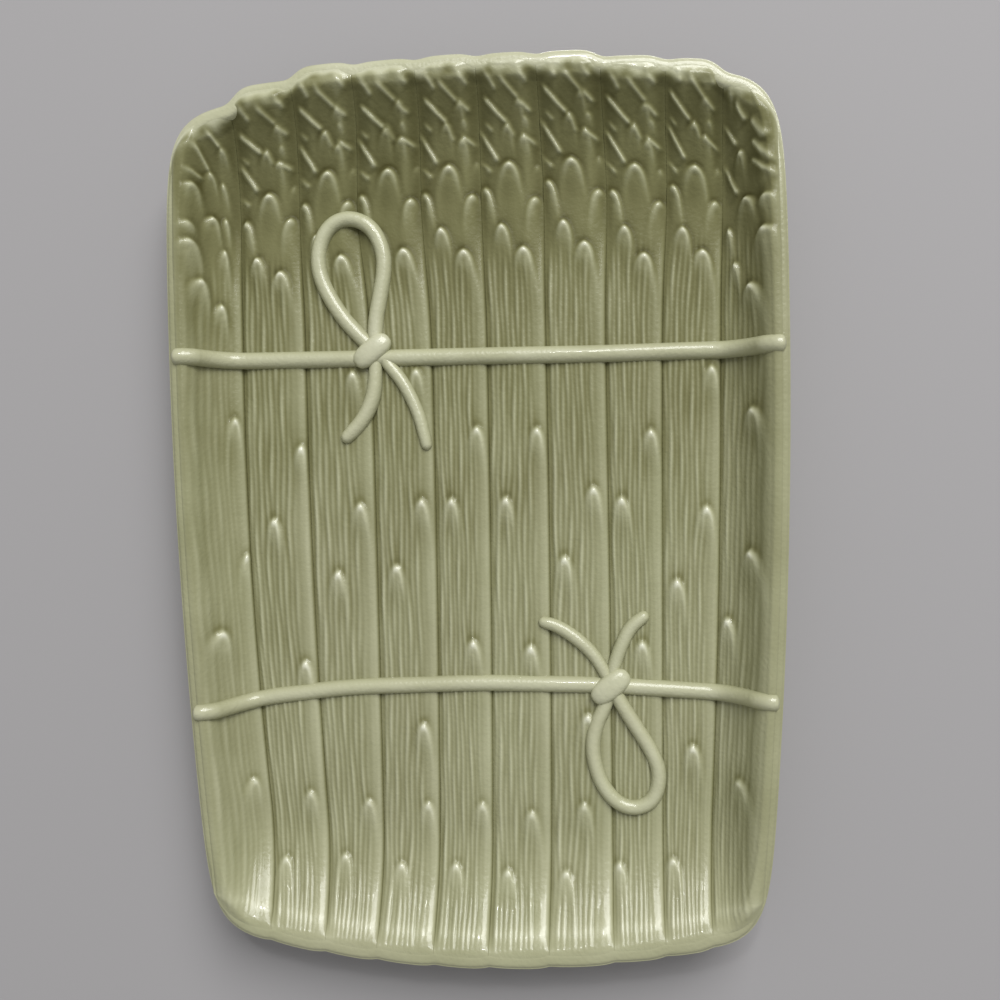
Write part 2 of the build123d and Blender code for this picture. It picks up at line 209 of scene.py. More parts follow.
def lip_height(inset):
    """Height of the rounded lip, at an inset from the rim's edge."""
    off_crest = np.clip(np.abs(inset - LIP_HALF) / LIP_HALF, 0, 1)
    return LIP_LOW + LIP_RISE * (1 - off_crest**LIP_POWER) ** (1 / LIP_POWER)


angles = np.arange(ROUND_STEPS) * 2 * math.pi / ROUND_STEPS
rim = rim_point(angles)
along = np.roll(rim, -1, axis=0) - np.roll(rim, 1, axis=0)
outward = np.stack([along[:, 1], -along[:, 0]], axis=-1)
outward /= np.linalg.norm(outward, axis=-1, keepdims=True)
rim_radius = np.linalg.norm(rim, axis=-1)
slant = np.sum(rim * outward, axis=-1) / rim_radius


def ring_at(inset):
    """The rim's plan drawn in by an inset, on the same rays."""
    return rim * (1 - inset / (rim_radius * slant))[:, None]


def under_height(plan):
    """Height of the tray's outside, one wall below its face."""
    x = plan[:, 0]
    y = plan[:, 1]
    steep = tray_normal(x, y)[:, 2]
    return np.maximum(UNDERSIDE, tray_height(x, y) - WALL / np.maximum(steep, STEEPEST))


# Rings of the shell, from the middle of its face over the lip and down the outside to the underside:
# shares of the rim's reach, then insets from the rim, with shares of the fall for the outer wall
FACE_SHARES = (0.3, 0.6, 0.75, 0.84, 0.9)
LIP_INSETS = (8.0, 6.6, 5.8, 5.3, 4.9, 4.4, 3.8, 3.2, 2.7, 2.1, 1.6, 1.2, 0.9, 0.6, 0.4, 0.2, 0.08, 0.0)
LIP_WIDTH = 5.4
WALL_FALL = ((0.1, 0.06), (0.5, 0.14), (1.5, 0.3), (3.0, 0.5), (5.0, 0.77), (7.0, 1.0))
UNDER_INSETS = (10.0, 14.0, 18.0, 23.0, 28.0, 34.0, 40.0, 46.0, 52.0)
FACE_SINK = 0.4

# Tone of the glaze on the rings, 0 where it pools and 1 on a ridge; it is thin and creamy at the two ends
creamy = smooth(95.0, 140.0, rim[:, 1]) + 0.32 * smooth(-125.0, -148.0, rim[:, 1])
face_tone = 0.3 + 0.5 * creamy
lip_tone = 0.53 + 0.22 * creamy
wall_tone = 0.6 + 0.1 * creamy
under_tone = np.full(ROUND_STEPS, 0.6)
dish_rings = []
dish_pool = []
for share in FACE_SHARES:
    plan = rim * share
    dish_rings.append(np.column_stack([plan, tray_height(plan[:, 0], plan[:, 1]) - FACE_SINK]))
    dish_pool.append(face_tone)
for inset in LIP_INSETS:
    plan = ring_at(inset)
    height = tray_height(plan[:, 0], plan[:, 1]) - FACE_SINK
    if inset < LIP_WIDTH:
        height = np.maximum(lip_height(inset), height)
    dish_rings.append(np.column_stack([plan, height]))
    dish_pool.append(lip_tone)
wall_foot = under_height(ring_at(WALL_FALL[-1][0]))
for inset, share in WALL_FALL:
    plan = ring_at(inset)
    dish_rings.append(np.column_stack([plan, LIP_LOW + (wall_foot - LIP_LOW) * share]))
    dish_pool.append(wall_tone)
for inset in UNDER_INSETS:
    plan = ring_at(inset)
    dish_rings.append(np.column_stack([plan, under_height(plan)]))
    dish_pool.append(under_tone)

bpy.ops.mesh.primitive_circle_add(vertices=ROUND_STEPS, radius=1.0, fill_type="NGON")
dish_body = bpy.context.object
dish_body.name = "dish_body_glazed"
bpy.ops.object.mode_set(mode="EDIT")
bpy.ops.mesh.select_mode(type="EDGE")
bpy.ops.mesh.select_all(action="SELECT")
for _ in range(len(dish_rings) - 1):
    bpy.ops.mesh.extrude_edges_move(TRANSFORM_OT_translate={"value": (0, 0, 0)})
bpy.ops.mesh.edge_face_add()
bpy.ops.object.mode_set(mode="OBJECT")


def corners_of(piece):
    """The corners of a piece's mesh as rows of three."""
    flat = np.empty(len(piece.data.vertices) * 3)
    piece.data.vertices.foreach_get("co", flat)
    return flat.reshape(-1, 3)


def set_corners(piece, points):
    """Moves the corners of a piece's mesh to points given in millimetres."""
    piece.data.vertices.foreach_set("co", (np.asarray(points) * MM).ravel())
    piece.data.update()


def set_pool_and_painted_shade(piece, values):
    """Stores how proud each corner stands, for the glaze: 0 in a hollow, 1 on a ridge; on the stalks, cords
    and knots it also carries painted shade and light.
    """
    layer = piece.data.attributes.new("pool_and_painted_shade", "FLOAT", "POINT")
    layer.data.foreach_set("value", np.clip(values, 0, 1).astype(np.float32))


start = corners_of(dish_body)
ring_number = np.arange(len(start)) // ROUND_STEPS
bearing = np.arctan2(start[:, 1], start[:, 0])
ray_number = np.round(bearing * ROUND_STEPS / (2 * math.pi)).astype(int) % ROUND_STEPS
set_corners(dish_body, np.stack(dish_rings)[ring_number, ray_number])
set_pool_and_painted_shade(dish_body, np.stack(dish_pool)[ring_number, ray_number])
bpy.ops.object.mode_set(mode="EDIT")
bpy.ops.mesh.select_all(action="SELECT")
bpy.ops.mesh.normals_make_consistent(inside=False)
bpy.ops.object.mode_set(mode="OBJECT")
bpy.ops.object.shade_smooth_by_angle(angle=math.radians(50))


def srgb(red, green, blue):
    """A colour as seen, from 0 to 255, as the shader needs it."""
    seen = np.array([red, green, blue]) / 255
    linear = np.where(seen <= 0.04045, seen / 12.92, ((seen + 0.055) / 1.055) ** 2.4)
    return (*linear.tolist(), 1.0)


# Colours of the glaze from the hollows to the ridges, the reach of its clouding, how its gloss grows
# with the tone, and the numbers of the mixing node's colour sockets, which share their names
GLAZE_COLOURS = ((0.3, (121, 119, 84)), (0.5, (151, 150, 118)), (0.72, (180, 179, 149)))
GLAZE_DARKEST = (80, 77, 46)
GLAZE_PALEST = (222, 221, 202)
GLAZE_VEIL = (0.97, 1.0, 0.94, 1.0)
CLOUDING = 0.22
GLOSS_FROM = 0.24
GLOSS_TO = 0.72
GLOSS = (("Specular IOR Level", 0.06, 0.42), ("Coat Weight", 0.0, 0.4))
MIX_SHARE = 0
MIX_FIRST = 6
MIX_SECOND = 7
MIX_RESULT = 2


def glaze_finish(name):
    """Glossy glaze: thick and olive where it pooled, thin and creamy where it ran off the ridges; the same
    tone also carries painted shade and light from the stalks, cords and knots.
    """
    finish = bpy.data.materials.new(name)
    finish.use_nodes = True
    nodes = finish.node_tree.nodes
    links = finish.node_tree.links
    shader = nodes["Principled BSDF"]
    shader.inputs["Roughness"].default_value = 0.3
    shader.inputs["Coat Roughness"].default_value = 0.05
    place = nodes.new("ShaderNodeTexCoord")
    pool_and_painted_shade = nodes.new("ShaderNodeAttribute")
    pool_and_painted_shade.attribute_name = "pool_and_painted_shade"
    cloud = nodes.new("ShaderNodeTexNoise")
    cloud.inputs["Scale"].default_value = 38.0
    cloud.inputs["Detail"].default_value = 4.0
    links.new(place.outputs["Object"], cloud.inputs["Vector"])
    sway = nodes.new("ShaderNodeMath")
    sway.operation = "MULTIPLY_ADD"
    sway.inputs[1].default_value = CLOUDING
    sway.inputs[2].default_value = -CLOUDING / 2
    links.new(cloud.outputs["Fac"], sway.inputs[0])
    depth = nodes.new("ShaderNodeMath")
    depth.operation = "ADD"
    depth.use_clamp = True
    links.new(pool_and_painted_shade.outputs["Fac"], depth.inputs[0])
    links.new(sway.outputs["Value"], depth.inputs[1])
    for socket, dull, bright in GLOSS:
        gloss = nodes.new("ShaderNodeMapRange")
        gloss.inputs["From Min"].default_value = GLOSS_FROM
        gloss.inputs["From Max"].default_value = GLOSS_TO
        gloss.inputs["To Min"].default_value = dull
        gloss.inputs["To Max"].default_value = bright
        links.new(pool_and_painted_shade.outputs["Fac"], gloss.inputs["Value"])
        links.new(gloss.outputs["Result"], shader.inputs[socket])
    tint = nodes.new("ShaderNodeValToRGB")
    links.new(depth.outputs["Value"], tint.inputs["Fac"])
    ramp = tint.color_ramp
    ramp.elements[0].position = 0.0
    ramp.elements[0].color = srgb(*GLAZE_DARKEST)
    ramp.elements[1].position = 1.0
    ramp.elements[1].color = srgb(*GLAZE_PALEST)
    for position, colour in GLAZE_COLOURS:
        step = ramp.elements.new(position)
        step.color = srgb(*colour)
    veil = nodes.new("ShaderNodeTexNoise")
    veil.inputs["Scale"].default_value = 24.0
    links.new(place.outputs["Object"], veil.inputs["Vector"])
    green = nodes.new("ShaderNodeMix")
    green.data_type = "RGBA"
    green.blend_type = "MULTIPLY"
    green.inputs[MIX_SECOND].default_value = GLAZE_VEIL
    links.new(veil.outputs["Fac"], green.inputs[MIX_SHARE])
    links.new(tint.outputs["Color"], green.inputs[MIX_FIRST])
    links.new(green.outputs[MIX_RESULT], shader.inputs["Base Color"])
    ripple = nodes.new("ShaderNodeTexNoise")
    ripple.inputs["Scale"].default_value = 620.0
    ripple.inputs["Detail"].default_value = 3.0
    links.new(place.outputs["Object"], ripple.inputs["Vector"])
    bump = nodes.new("ShaderNodeBump")
    bump.inputs["Strength"].default_value = 0.35
    bump.inputs["Distance"].default_value = 0.0006
    links.new(ripple.outputs["Fac"], bump.inputs["Height"])
    links.new(bump.outputs["Normal"], shader.inputs["Normal"])
    return finish


glaze = glaze_finish("pooled_glaze")
dish_body.data.materials.append(glaze)
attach(dish_body, "root")
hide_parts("dish_body")

# Foot ring: the low ring under the tray, wiped clean of glaze so that it doesn't stick in the kiln.
# The solid already has its shape, so it only gets the look of bare buff clay.
bare_clay = bpy.data.materials.new("bare_clay")
bare_clay.use_nodes = True
clay_nodes = bare_clay.node_tree.nodes
clay_links = bare_clay.node_tree.links
clay_shader = clay_nodes["Principled BSDF"]
clay_shader.inputs["Roughness"].default_value = 0.85
clay_place = clay_nodes.new("ShaderNodeTexCoord")
clay_speck = clay_nodes.new("ShaderNodeTexNoise")
clay_speck.inputs["Scale"].default_value = 600.0
clay_speck.inputs["Detail"].default_value = 5.0
clay_links.new(clay_place.outputs["Object"], clay_speck.inputs["Vector"])
clay_tint = clay_nodes.new("ShaderNodeValToRGB")
clay_tint.color_ramp.elements[0].position = 0.3
clay_tint.color_ramp.elements[0].color = srgb(176, 160, 130)
clay_tint.color_ramp.elements[1].position = 0.62
clay_tint.color_ramp.elements[1].color = srgb(214, 202, 176)
clay_links.new(clay_speck.outputs["Fac"], clay_tint.inputs["Fac"])
clay_links.new(clay_tint.outputs["Color"], clay_shader.inputs["Base Color"])
clay_bump = clay_nodes.new("ShaderNodeBump")
clay_bump.inputs["Strength"].default_value = 0.3
clay_bump.inputs["Distance"].default_value = 0.0004
clay_links.new(clay_speck.outputs["Fac"], clay_bump.inputs["Height"])
clay_links.new(clay_bump.outputs["Normal"], clay_shader.inputs["Normal"])
foot_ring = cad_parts["foot_ring"]
foot_ring.data.materials.clear()
foot_ring.data.materials.append(bare_clay)

# Spears: ten asparagus stalks in relief, each lying over the left edge of the next, modelled in clay.
# A stalk has eight or nine ribs and a smooth band at its right, pointed bracts along it, a tip of lapped
# scales that runs out into the lip, and a slanting cut end. Glaze pools olive in the grooves.
LAST = len(SPEAR_EDGES)
GROOVE_HEIGHT = 0.7
GROOVE_WIDTH = 2.6
SPEAR_LOW = 1.4
SPEAR_HIGH = 2.3
CROWN_PLACE = 0.8
EDGE_ROUND = 3.0
SIDE_FILL = 20.0
TIP_FROM = 76.0
TIP_TO = 112.0
TIP_SINK = 0.2
RIB_TOTAL = 8.5
RIB_START = 0.03
RIB_SHARE = 0.74
RIB_HEIGHT = 0.72
RIBS_GONE = 100.0
RIBS_FULL = 84.0
RIBS_HIDDEN = 0.85
SIDE_RIBS = {0: 0.45, LAST: 0.65}
COLUMNS = 64
ROWS = 560
WRAP = 2
TIP_END = 2.4
SIDE_TIP_END = 1.2 * TIP_END
CUT_END = 2.6
SIDE_END = 1.8
SPEAR_DEPTH = 1.2
TIP_STATION = 150.0
TIP_CORNER = 140.0
CUT_STATION = -150.0
CUT_CORNER = -145.0
LIP_REACH = 6.0
BELOW_CREST = 0.1
STEM_TONE = 0.48
SIDE_TONE = 0.53
CUT_TONE = 0.61
TIP_TONE = 0.78
HIDDEN_TONE = 0.3
FINE_CONTRAST = 0.42
BROAD_CONTRAST = 0.2

# Apex of each bract, across and along the plate, spear by spear from the left
BRACTS = (
    ((-92, 36), (-88, -15), (-97, -43), (-87, -98)),
    ((-66, 25), (-77, -2), (-66, -55), (-65, -103), (-74, -127)),
    ((-46, 52), (-44, 3), (-53, -22), (-43, -106), (-52, -126)),
    ((-22, 52), (-21, 4), (-31, -20), (-22, -78), (-21, -107), (-31, -129)),
    ((0, 30), (-10, 4), (-3, -48), (-1, -107), (-11, -129)),
    ((22, 29), (10, 4), (18, -50), (17, -110), (8, -131)),
    ((42, 7), (31, -18), (38, -75), (36, -107), (29, -131)),
    ((63, 27), (52, 3), (58, -49), (48, -128)),
    ((85, 49), (82, -1), (71, -27), (75, -86), (67, -126)),
    ((100, 33), (98, -17), (89, -41), (92, -97)),
)
BRACT_HALF = 3.2
BRACT_ARCH = 6.0
BRACT_LIFT = 1.4
LOW_BRACT_LIFT = 1.0
LOW_BRACTS = -90.0
BRACT_FADE = 10.0
SCALE_GAIN = 1.2

# Scales of a tip: place across the spear, apex from the rim, half width, arch length, lift, run-out
TIP_SCALES = (
    (0.69, 13.5, 2.3, 3.5, 0.8, 6.0),
    (0.48, 20.5, 2.7, 4.5, 1.0, 8.0),
    (0.76, 19.3, 1.7, 2.5, 0.6, 4.0),
    (0.71, 25.0, 2.7, 4.0, 0.9, 7.0),
    (0.93, 34.8, 1.9, 3.5, 0.8, 5.0),
    (0.49, 34.1, 4.4, 5.5, 1.6, 11.0),
    (0.08, 43.0, 3.5, 6.0, 1.5, 12.0),
    (0.87, 45.9, 4.3, 6.5, 1.4, 11.0),
    (0.30, 57.0, 3.5, 5.5, 1.5, 9.0),
    (0.66, 65.2, 3.8, 5.0, 1.5, 10.0),
)
# Slanting edges of the lapped scales near the lip: from place and depth to place and depth, lift
TIP_LEDGES = (
    (0.10, 4.0, 0.30, 10.0, 0.7),
    (0.42, 7.5, 0.69, 13.5, 0.8),
    (0.66, 3.5, 0.86, 9.0, 0.7),
    (0.11, 13.0, 0.46, 20.4, 1.1),
    (0.70, 13.7, 0.87, 17.2, 0.8),
    (0.50, 20.8, 0.61, 26.0, 0.7),
    (0.73, 25.1, 0.94, 28.4, 0.9),
    (0.10, 20.5, 0.22, 23.0, 0.6),
    (0.03, 23.5, 0.32, 33.4, 1.1),
    (0.03, 34.3, 0.19, 37.8, 0.7),
)
# The two spears on the sides: apex across and along the plate, half width, arch length, lift, run-out
SIDE_SCALES = {
    0: (
        (-91.6, 136.0, 2.2, 4.0, 0.9, 7.0),
        (-97.8, 127.4, 2.4, 4.5, 1.1, 8.0),
        (-103.7, 122.2, 2.8, 5.0, 1.2, 9.0),
        (-93.4, 123.8, 2.0, 4.5, 0.9, 8.0),
        (-98.7, 111.1, 3.2, 5.0, 1.4, 10.0),
        (-105.2, 107.5, 2.6, 3.5, 1.0, 5.0),
        (-105.0, 101.1, 3.2, 4.5, 1.3, 10.0),
        (-93.9, 110.8, 1.9, 4.0, 1.1, 8.0),
        (-94.9, 98.9, 2.2, 5.0, 1.3, 9.0),
        (-102.3, 87.1, 2.6, 5.0, 1.3, 10.0),
        (-96.4, 78.3, 2.6, 5.0, 1.4, 9.0),
    ),
    LAST: (
        (92.6, 142.6, 1.8, 3.0, 0.9, 5.0),
        (97.9, 123.9, 2.3, 4.5, 1.2, 8.0),
        (100.0, 107.2, 3.2, 4.5, 1.4, 10.0),
        (105.5, 105.7, 2.6, 3.5, 1.2, 8.0),
        (105.0, 94.7, 3.4, 5.0, 1.4, 11.0),
        (93.0, 97.5, 2.0, 5.0, 1.2, 8.0),
        (95.3, 85.0, 2.0, 4.5, 1.2, 8.0),
        (100.6, 76.6, 3.2, 5.0, 1.4, 10.0),
    ),
}
# Their slanting edges: from a place on the plate to a place on the plate, lift
SIDE_LEDGES = {
    0: (
        (-95.7, 141.0, -91.8, 136.0, 1.0),
        (-100.9, 135.7, -97.8, 127.4, 1.0),
        (-103.9, 126.8, -100.4, 124.1, 0.9),
    ),
    LAST: (
        (95.5, 138.8, 99.6, 132.8, 1.0),
        (91.3, 132.3, 96.2, 126.1, 1.0),
        (102.4, 125.4, 107.0, 116.0, 1.2),
        (102.4, 119.1, 107.6, 110.8, 1.2),
        (91.5, 119.5, 97.0, 109.2, 1.0),
        (101.7, 132.2, 105.3, 124.8, 1.0),
    ),
}
# How far the scales of each tip lie nearer the rim, and the width that their slanting edges are drawn for
TIP_SHIFTS = (0.0, 1.0, 3.3, 1.3, 0.0, -0.3, 2.2, 0.2, 3.0, 2.5)
TIP_BREADTH = 22.0


def pointed_scale(across, below, half, length, lift, fade):
    """Relief of one scale or bract, an arch with a longer right flank, and where it hides the ribs."""
    down = np.clip(below, 0, None)
    rise = np.minimum(down / length, 1)
    width = half * (0.45 * np.sqrt(1 - (1 - rise) ** 2) + 0.55 * np.sqrt(down / length))
    inside = np.where(below > 0, width - np.abs(across), -np.hypot(across, np.minimum(below, 0)))
    edge = smooth(-1.1, 0.8 + 0.35 * half, inside)
    rightness = smooth(-0.6 * half, 0.6 * half, across)
    run_out = np.exp(-((down / (fade * (0.7 + 0.3 * rightness))) ** 1.6))
    rim_up = 0.25 * np.exp(-(((inside - 0.9) / 0.8) ** 2)) * rightness
    nose = 0.2 * np.exp(-(((below - 1.3) / 1.4) ** 2) - (across / (0.5 * half)) ** 2)
    hollow_down = (below - 0.7 * length) / (0.35 * length)
    hollow = 0.12 * np.exp(-((across / (0.4 * half)) ** 2) - hollow_down**2)
    return lift * edge * run_out * (1 + rim_up + nose - hollow), smooth(-0.8, 0.6, inside) * run_out


def over(lower, upper):
    """Two reliefs laid over each other, the crease between them softened."""
    return np.cbrt(lower**3 + upper**3)


def ledge(x, y, start, end, lift):
    """Relief of a slanting edge: a ridge with a step that runs out to the lower left of it."""
    run = np.hypot(end[0] - start[0], end[1] - start[1])
    along = ((x - start[0]) * (end[0] - start[0]) + (y - start[1]) * (end[1] - start[1])) / run
    aside = ((x - start[0]) * (end[1] - start[1]) - (y - start[1]) * (end[0] - start[0])) / run
    ends = smooth(-2.0, 1.5, along) * smooth(-1.2, 1.2, run - along)
    step = smooth(-0.9, 0.7, aside) * np.exp(-np.clip(aside, 0, None) / 3.0)
    return lift * ends * (0.75 * step + 0.75 * np.exp(-((aside / 0.85) ** 2)))


def bare_stalk(spear, share, y, width):
    """Height of a stalk without ribs or scales, and how full it stands, 0 at its edges and 1 within."""
    # The outer edges of the two side spears have no groove, so they count as further off
    from_left = share * width + (SIDE_FILL if spear == 0 else 0)
    to_right = (1 - share) * width + (SIDE_FILL if spear == LAST else 0)
    crown = np.sin(np.clip(share / CROWN_PLACE, 0, 1) * math.pi / 2)
    left = GROOVE_HEIGHT + (SPEAR_LOW - GROOVE_HEIGHT) * smooth(0.0, GROOVE_WIDTH, from_left)
    full = np.sqrt(np.clip(1 - (1 - np.clip(to_right / EDGE_ROUND, 0, 1)) ** 2, 0, 1))
    body = left + (SPEAR_HIGH - SPEAR_LOW) * crown
    body = GROOVE_HEIGHT + (body - GROOVE_HEIGHT) * full
    soft = smooth(TIP_FROM, TIP_TO, y)
    swell = smooth(0.6, 7.0, from_left) * smooth(0.6, 6.5, to_right)
    tip_body = GROOVE_HEIGHT - TIP_SINK + (SPEAR_HIGH - GROOVE_HEIGHT) * swell
    tip_full = smooth(0.0, 4.0, to_right) * smooth(0.0, 3.0, from_left)
    return body + (tip_body - body) * soft, full + (tip_full - full) * soft


def rib_phase(spear, share, y):
    """A count of ribs from the left, which wanders along the stalk as if drawn by hand."""
    phase = (share - RIB_START) / RIB_SHARE * RIB_TOTAL
    phase = phase + 0.3 * np.sin(y / 47 + 1.7 * spear + 2 * share) + 0.12 * np.sin(y / 16 + 2.9 * spear)
    return phase + 0.1 * np.sin(y / 6.1 + 2.3 * spear + 9 * share)


def laid_bracts(spear, x, y, phase):
    """Relief of a stalk's bracts, where they hide the ribs, and the ribs pushed aside around them."""
    lift = np.zeros_like(x)
    calm = np.zeros_like(x)
    for apex_x, apex_y in BRACTS[spear]:
        proud = BRACT_LIFT if apex_y > LOW_BRACTS else LOW_BRACT_LIFT
        part, still = pointed_scale(x - apex_x, apex_y - y, BRACT_HALF, BRACT_ARCH, proud, BRACT_FADE)
        lift = over(lift, part)
        calm = np.maximum(calm, still)
        pushed = np.exp(-(((x - apex_x) / 4) ** 2) - ((apex_y - y - 4) / 7) ** 2)
        phase = phase + 0.35 * np.tanh((x - apex_x) / 1.5) * pushed
    return lift, calm, phase


def side_scales(spear, x, y, lift, calm):
    """The scales of a spear on the plate's side, laid over its bracts."""
    for apex_x, apex_y, half, length, proud, fade in SIDE_SCALES[spear]:
        part, still = pointed_scale(x - apex_x, apex_y - y, half, length, proud, fade)
        lift = over(lift, SCALE_GAIN * part)
        calm = np.maximum(calm, still)
    for start_x, start_y, end_x, end_y, proud in SIDE_LEDGES[spear]:
        lift = over(lift, ledge(x, y, (start_x, start_y), (end_x, end_y), proud))
    return lift, calm


def tip_scales(spear, share, x, y, width, lift, calm):
    """The scales of a spear between the sides, each set a little differently, laid over its bracts."""
    from_rim = tip_edge(x)
    shift = TIP_SHIFTS[spear]
    for number, (place, depth, half, length, proud, fade) in enumerate(TIP_SCALES):
        place = place + 0.02 * math.sin(7.1 * spear + 1.3 * number)
        depth = depth - shift + 0.6 * math.sin(3.7 * spear + 2.1 * number)
        across = (share - place) * width
        part, still = pointed_scale(across, from_rim - depth - y, half, length, proud, fade)
        lift = over(lift, SCALE_GAIN * part)
        calm = np.maximum(calm, still)
    for number, (place, depth, next_place, next_depth, proud) in enumerate(TIP_LEDGES):
        drift = 0.02 * math.sin(5.3 * spear + 1.9 * number)
        sink = 0.5 * math.sin(2.9 * spear + 1.7 * number) - shift
        start = ((place + drift) * TIP_BREADTH, -depth - sink)
        end = ((next_place + drift) * TIP_BREADTH, -next_depth - sink)
        lift = over(lift, ledge(share * TIP_BREADTH, y - from_rim, start, end, proud))
    return lift, calm


def stalk_relief(spear, share, x, y, width):
    """Height of a stalk above the tray, over its grid of shares across and places along the plate."""
    body, full = bare_stalk(spear, share, y, width)
    lift, calm, phase = laid_bracts(spear, x, y, rib_phase(spear, share, y))
    if spear in SIDE_SCALES:
        lift, calm = side_scales(spear, x, y, lift, calm)
    else:
        lift, calm = tip_scales(spear, share, x, y, width, lift, calm)
    ribbed = smooth(RIBS_GONE, RIBS_FULL, y) * smooth(0.0, 0.05, share)
    ribbed = ribbed * (1 - RIBS_HIDDEN * smooth(RIB_SHARE - 0.05, RIB_SHARE + 0.06, share)) * full
    swell = 0.7 + 0.2 * np.sin(y / 13 + 2.7 * np.floor(phase) + 1.3 * spear)
    swell = swell + 0.15 * np.sin(y / 4.7 + 4.1 * np.floor(phase) + 0.7 * spear)
    deep = RIB_HEIGHT * SIDE_RIBS.get(spear, 1.0)
    ribs = (np.abs(np.sin(math.pi * phase)) ** 0.8 * swell - 0.5) * deep * ribbed * (1 - RIBS_HIDDEN * calm)
    return body + ribs + lift * (0.3 + 0.7 * full)


def blurred(field, across, along):
    """A field smoothed by a running mean over a few columns and rows."""
    for axis, reach in ((1, across), (0, along)):
        edge = [(0, 0), (0, 0)]
        edge[axis] = (reach + 1, reach)
        total = np.cumsum(np.pad(field, edge, mode="edge"), axis=axis)
        size = field.shape[axis]
        upper = np.take(total, np.arange(size) + 2 * reach + 1, axis=axis)
        lower = np.take(total, np.arange(size), axis=axis)
        field = (upper - lower) / (2 * reach + 1)
    return field


def warped(share):
    """Rows lie closer together at the tips than along the stems."""
    return share + 0.13 * np.sin(math.pi * share) * smooth(0.0, 1.0, share)


def spear_tone(spear, relief, x, y, from_end, from_side, plain):
    """Tone of the glaze on a stalk: dark in its hollows, pale on ridges and at the lip, with painted shade
    towards the tips and painted light at the cut ends.
    """
    fine = relief - blurred(relief, 4, 5)
    broad = relief - blurred(relief, 10, 14)
    tone = STEM_TONE + FINE_CONTRAST * fine + BROAD_CONTRAST * broad
    # Painted shade and painted light: the tone darkens from the middle of the plate towards the tips and
    # pales a little at the cut ends, standing in for how the end slopes face the light; at the tips the
    # glaze is also a deeper olive.
    tone = tone - 0.12 * smooth(-60.0, 60.0, y) - 0.13 * smooth(60.0, 125.0, y)
    tone = tone + 0.04 * smooth(-100.0, -140.0, y)
    tone = tone + (SIDE_TONE - tone) * smooth(3.5, 0.0, from_side)
    tone = tone + (CUT_TONE - tone) * plain
    ragged = from_end + 0.4 * np.sin(0.9 * x) + 0.5 * np.sin(0.37 * x + spear)
    return tone + (TIP_TONE - tone) * smooth(4.2, 1.0, ragged)


def model_spear(spear):
    """One stalk: a grid laid on the tray and raised, its outer columns wrapped underneath and joined."""
    bpy.ops.mesh.primitive_grid_add(x_subdivisions=COLUMNS + 2 * WRAP, y_subdivisions=ROWS, size=2.0)
    piece = bpy.context.object
    piece.name = f"spear_{spear + 1:02d}_glazed"
    start = corners_of(piece)
    order = np.lexsort((start[:, 0], start[:, 1]))
    column = np.tile(np.arange(COLUMNS + 2 * WRAP + 1) - WRAP, (ROWS + 1, 1))
    share = np.clip(column / COLUMNS, 0, 1)
    share = np.where((column == -WRAP) | (column == COLUMNS + WRAP), 0.5, share)
    run = warped(np.tile(np.linspace(0, 1, ROWS + 1)[:, None], (1, COLUMNS + 2 * WRAP + 1)))

    def left_x(y):
        return spear_edge(spear - 1, y) if spear > 0 else SIDE_END - side_edge(y)

    def right_x(y):
        return spear_edge(spear, y) if spear < LAST else side_edge(y) - SIDE_END

    def place_x(y):
        return left_x(y) + (right_x(y) - left_x(y)) * share

    tip_x = place_x(np.full_like(share, TIP_STATION))
    cut_x = place_x(np.full_like(share, CUT_STATION))
    tip_gap = SIDE_TIP_END if spear in SIDE_SCALES else TIP_END
    far = tip_end(tip_x) * corner_share(tip_x, TIP_CORNER, TIP_POWER) - tip_gap
    near = butt_end(cut_x) * corner_share(cut_x, CUT_CORNER, BUTT_POWER) + CUT_END
    y = near + (far - near) * run
    x = place_x(y)
    top = slice(WRAP, COLUMNS + WRAP + 1)
    top_x = x[:, top]
    top_y = y[:, top]
    width = right_x(top_y) - left_x(top_y)
    relief = blurred(stalk_relief(spear, share[:, top], top_x, top_y, width), 1, 1)
    from_end = (far - y)[:, top]
    from_cut = (y - near)[:, top]
    from_side = side_edge(top_y) - SIDE_END - np.abs(top_x)
    plain = smooth(7.5, 0.5, from_cut)
    ending = np.minimum(smooth(0.5, 4.5, from_end), 1 - plain)
    if spear in SIDE_SCALES:
        ending = np.minimum(ending, smooth(-1.0, 4.5, from_side))
    relief = relief * (0.12 + 0.88 * ending) + 0.3 * (1 - ending)
    height = np.full_like(x, -SPEAR_DEPTH)
    height[:, top] = relief - 0.9 * smooth(1.8, 0.0, from_cut) - 0.9 * smooth(1.5, 0.0, from_side)
    height[[0, -1]] = -SPEAR_DEPTH
    pool_and_painted_shade = np.full_like(x, HIDDEN_TONE)
    pool_and_painted_shade[:, top] = spear_tone(spear, relief, top_x, top_y, from_end, from_side, plain)
    surface = laid(x, y, height)
    from_lip = np.minimum(np.minimum(from_end, from_cut), from_side)
    below_lip = np.clip(LIP_LOW + LIP_RISE - BELOW_CREST - surface[:, top, 2], 0, None)
    raised = below_lip * smooth(LIP_REACH, 0.5, from_lip)
    surface[1:-1, top, 2] += raised[1:-1]
    points = np.empty_like(start)
    points[order] = surface.reshape(-1, 3)
    set_corners(piece, points)
    tone = np.empty(len(start))
    tone[order] = pool_and_painted_shade.ravel()
    set_pool_and_painted_shade(piece, tone)
    bpy.ops.object.mode_set(mode="EDIT")
    bpy.ops.mesh.select_mode(type="EDGE")
    bpy.ops.mesh.select_all(action="SELECT")
    bpy.ops.mesh.remove_doubles(threshold=0.000002)
    bpy.ops.mesh.fill_holes(sides=0)
    bpy.ops.mesh.normals_make_consistent(inside=False)
    bpy.ops.object.mode_set(mode="OBJECT")
    bpy.ops.object.shade_smooth()
    piece.data.materials.append(glaze)
    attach(piece, "root")
    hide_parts(f"spear_{spear + 1:02d}")


for spear in range(LAST + 1):
    model_spear(spear)

